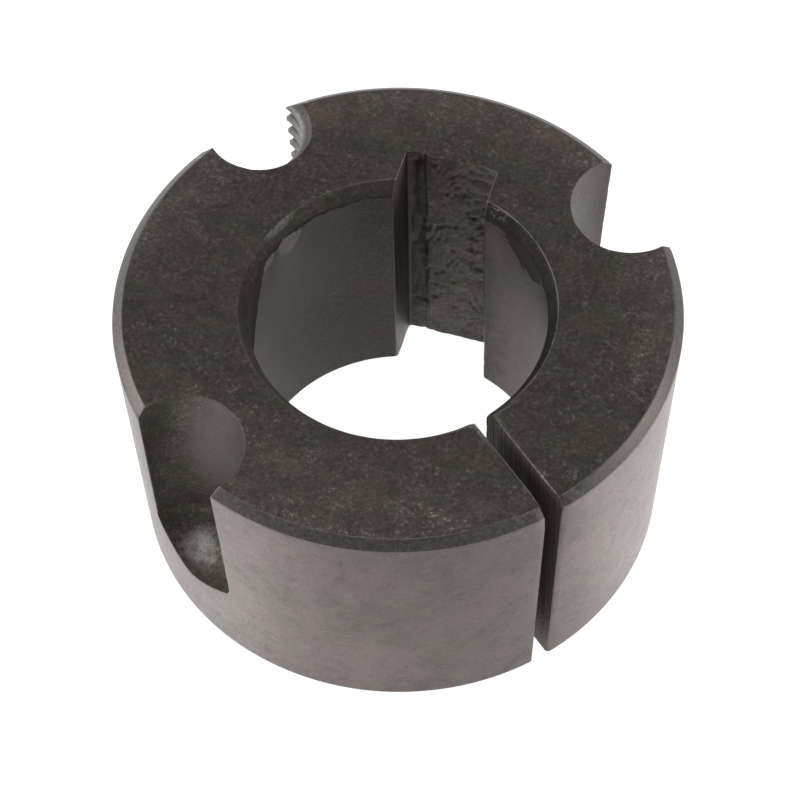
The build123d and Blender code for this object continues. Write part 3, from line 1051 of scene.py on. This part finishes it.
points, reach, cells, finish = welded()
corners = np.concatenate([c.ravel() for c in cells])
sizes = np.concatenate([np.full(len(c), c.shape[1]) for c in cells])
starts = np.concatenate(([0], np.cumsum(sizes)[:-1]))
mesh = bpy.data.meshes.new("bush_body")
mesh.vertices.add(len(points))
mesh.vertices.foreach_set("co", (points * mm).ravel())
mesh.loops.add(len(corners))
mesh.loops.foreach_set("vertex_index", corners)
mesh.polygons.add(len(starts))
mesh.polygons.foreach_set("loop_start", starts)
mesh.polygons.foreach_set("material_index", finish)
mesh.update(calc_edges=True)
worn = mesh.attributes.new("from_edge", "FLOAT", "POINT")
worn.data.foreach_set("value", reach)
turning = bmesh.new()
turning.from_mesh(mesh)
bmesh.ops.recalc_face_normals(turning, faces=turning.faces)
turning.to_mesh(mesh)
turning.free()


def read(items, name, width, kind=float):
    """One property of every item, as an array."""
    values = np.empty(len(items) * width, kind)
    items.foreach_get(name, values)
    return values.reshape(-1, width).squeeze()


def point_sums(values):
    """For each point, the sum of its faces' values."""
    owner = np.repeat(np.arange(len(mesh.polygons)), read(mesh.polygons, "loop_total", 1, int))
    total = np.zeros((len(mesh.vertices), values.shape[1]))
    np.add.at(total, read(mesh.loops, "vertex_index", 1, int), values[owner])
    return total


def point_normals():
    """Normals weighted by the area of each face, so that flats stay flat up to their edges."""
    area = read(mesh.polygons, "area", 1)
    total = point_sums(read(mesh.polygons, "normal", 3) * area[:, None])
    return total / np.linalg.norm(total, axis=1, keepdims=True)


# The last of the shape: the faint unevenness of each finish, small nicks in the edges, and
# the knocked corners of the cut
share = point_sums(np.eye(len(FINISHES))[read(mesh.polygons, "material_index", 1, int)])
share /= share.sum(1, keepdims=True)
rise = dict.fromkeys(FINISHES, 0.0)
for name, depth, size, seed, squeeze in (
        ("faced", 0.012, 1.3, 61, 1), ("faced", 0.010, 0.55, 62, 1), ("ground", 0.006, 2.5, 63, 1),
        ("chamfered", 0.006, 1.0, 64, 1), ("leading", 0.012, 0.7, 65, 1),
        ("bored", 0.006, 1.6, 66, (1, 1, 3)), ("drilled", 0.014, 0.8, 67, 1),
        ("broached", 0.012, 0.5, 68, 1)):
    rise[name] = rise[name] + depth * speckle(points * squeeze, size, seed)
relief = sum(share[:, n] * rise[name] for n, name in enumerate(FINISHES))
nick_depth, nick_reach = 0.11, 0.25
nicks = np.clip(speckle(points, 0.9, 71) - 0.35, 0, 1) * np.clip(1 - reach / nick_reach, 0, 1)
knocked = 0.0                               # the cut's corners, rounded by knocks and handling
for wall, along, z, round_over, depth, span in (
        ("first", bore_radius + 0.5, length, 0.55, 0.20, (1.6, 1.2)),
        ("first", bore_radius + 3.5, length, 0.45, 0.09, (4.5, 0.8)),
        ("first", large_radius - 0.5, length - 0.4, 0.8, 0.24, (1.5, 1.5)),
        ("last", large_radius - 0.5, length - 0.4, 0.7, 0.18, (1.3, 1.3))):
    off_wall = points[:, :2] @ cut_across - cut_walls[wall]
    beside = np.sign(cut_walls[wall]) * off_wall > -0.05
    away = np.hypot((points[:, :2] @ cut_along - along) / span[0], (points[:, 2] - z) / span[1])
    near = np.clip(1.4 - away, 0, 1) * beside * (np.abs(off_wall) < 2.0)
    knocked = np.maximum(knocked, depth * near * np.clip(1 - reach / round_over, 0, 1) ** 2)
points = points + point_normals() * (relief - nick_depth * nicks - knocked)[:, None]
points[:, 2] = np.clip(points[:, 2], 0, length)
mesh.vertices.foreach_set("co", (points * mm).ravel())
mesh.update()
for name in FINISHES:
    mesh.materials.append(finishes[name])
mesh.polygons.foreach_set("use_smooth", np.ones(len(mesh.polygons), bool))
mesh.normals_split_custom_set_from_vertices(point_normals().tolist())
bush = bpy.data.objects.new("bush_body", mesh)
bpy.context.scene.collection.objects.link(bush)
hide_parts("taper_bush")
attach(bush, "root")

# ---------------------------------------------------------------------------
# The bench: a pale floor that keeps the bush's faint shadow, under a white sky.
# ---------------------------------------------------------------------------
floor_mesh = bpy.data.meshes.new("bench_floor")
reach_out = 3.0                             # metres from the middle to each side
bench_front = (0.438, -0.899, 0)            # the bench is dimmer this way in reflections
floor_mesh.from_pydata([(-reach_out, -reach_out, 0), (reach_out, -reach_out, 0),
                        (reach_out, reach_out, 0), (-reach_out, reach_out, 0)],
                       [], [(0, 1, 2, 3)])
floor = bpy.data.objects.new("bench_floor", floor_mesh)
bpy.context.scene.collection.objects.link(floor)
made, place, axes, shader = begin("bench_white")
path = put("LightPath").outputs
seen = calc("MAXIMUM", path["Is Camera Ray"], path["Is Glossy Ray"])
seen = calc("MAXIMUM", seen, path["Is Transmission Ray"])
shader.inputs["Base Color"].default_value = (0.8, 0.8, 0.8, 1)
shader.inputs["Roughness"].default_value = 0.9
out = put("VectorMath", {0: stretch(place, (1, 1, 0))}, operation="NORMALIZE").outputs[0]
nearer = put("VectorMath", {0: out, 1: bench_front}, operation="DOT_PRODUCT")
nearer = ease(nearer.outputs["Value"], 0.5, 1.0, 0.04, -0.50)
dimmer = calc("ADD", times(nearer, path["Is Glossy Ray"]), 0.98)
glow = put("Emission", {"Strength": dimmer})
shadow = put("BsdfDiffuse", {"Color": (0.2, 0.2, 0.2, 1)})
white = put("AddShader", {0: glow.outputs[0], 1: shadow.outputs[0]})
choice = put("MixShader", {0: seen, 1: shader.outputs[0], 2: white.outputs[0]})
tree.links.new(choice.outputs[0], tree.nodes["Material Output"].inputs["Surface"])
floor_mesh.materials.append(made)

# The studio: white walls all round, a dimmer ceiling, and darker behind the camera.
world = bpy.data.worlds.new("studio")
bpy.context.scene.world = world
world.use_nodes = True
tree = world.node_tree
studio_front = (0.306, -0.952, 0)
toward = put("SeparateXYZ", {0: put("TexCoord").outputs["Generated"]}).outputs
ceiling = ease(toward[2], 0.30, 0.80, 1.0, 0.50)
facing = put("VectorMath", {0: put("TexCoord").outputs["Generated"],
                                  1: studio_front}, operation="DOT_PRODUCT")
front = ease(facing.outputs["Value"], 0.35, 0.75, 1.0, 0.45)
above = ease(toward[2], 0.12, 0.35)
front = calc("MULTIPLY_ADD", calc("SUBTRACT", front, 1.0), above, 1.0)
strength = times(ceiling, front)
path = put("LightPath").outputs
strength = calc("MAXIMUM", strength, path["Is Camera Ray"])
tree.links.new(strength, tree.nodes["Background"].inputs["Strength"])
tree.nodes["Background"].inputs["Color"].default_value = (1, 1, 1, 1)


def lamp(name, place, size, power):
    """A square soft lamp that faces the bush."""
    data = bpy.data.lights.new(name, "AREA")
    data.size, data.energy = size, power
    made = bpy.data.objects.new(name, data)
    made.location = place
    made.rotation_euler = Vector(place).to_track_quat("Z", "Y").to_euler()
    bpy.context.scene.collection.objects.link(made)


lamp("overhead", (-0.15, 0.25, 0.9), 0.5, 3.0)
lamp("left_side", (-0.8, -0.1, 0.35), 0.4, 2.5)
lamp("right_side", (0.8, 0.3, 0.35), 0.4, 2.5)

# ---------------------------------------------------------------------------
# The camera, above and in front of the saw cut.
# ---------------------------------------------------------------------------
rise, lean, swing = radians(55.397), radians(-1.155), radians(17.8)
distance = 433.876                          # mm from the point it is aimed at
sensor_width, lens_in_widths = 36.0, 6.3704925
back = np.array((cos(rise) * sin(swing), -cos(rise) * cos(swing), sin(rise)))
across = np.array((cos(swing), sin(swing), 0.0))
upward = np.cross(back, across)
right = cos(lean) * across + sin(lean) * upward
top = cos(lean) * upward - sin(lean) * across
aim = np.array((0, 0, length / 2)) + 0.028 * across - 0.495 * upward
stand = (aim + distance * back) * mm
camera = bpy.data.objects.new("camera", bpy.data.cameras.new("camera"))
camera.matrix_world = Matrix([[*row, place] for row, place in
                              zip(np.stack((right, top, back), 1), stand)] + [[0, 0, 0, 1]])
camera.data.sensor_width = sensor_width
camera.data.lens = lens_in_widths * sensor_width
camera.data.clip_start, camera.data.clip_end = 0.05, 20.0
bpy.context.scene.collection.objects.link(camera)
bpy.context.scene.camera = camera
bpy.context.scene.view_settings.view_transform = "Standard"
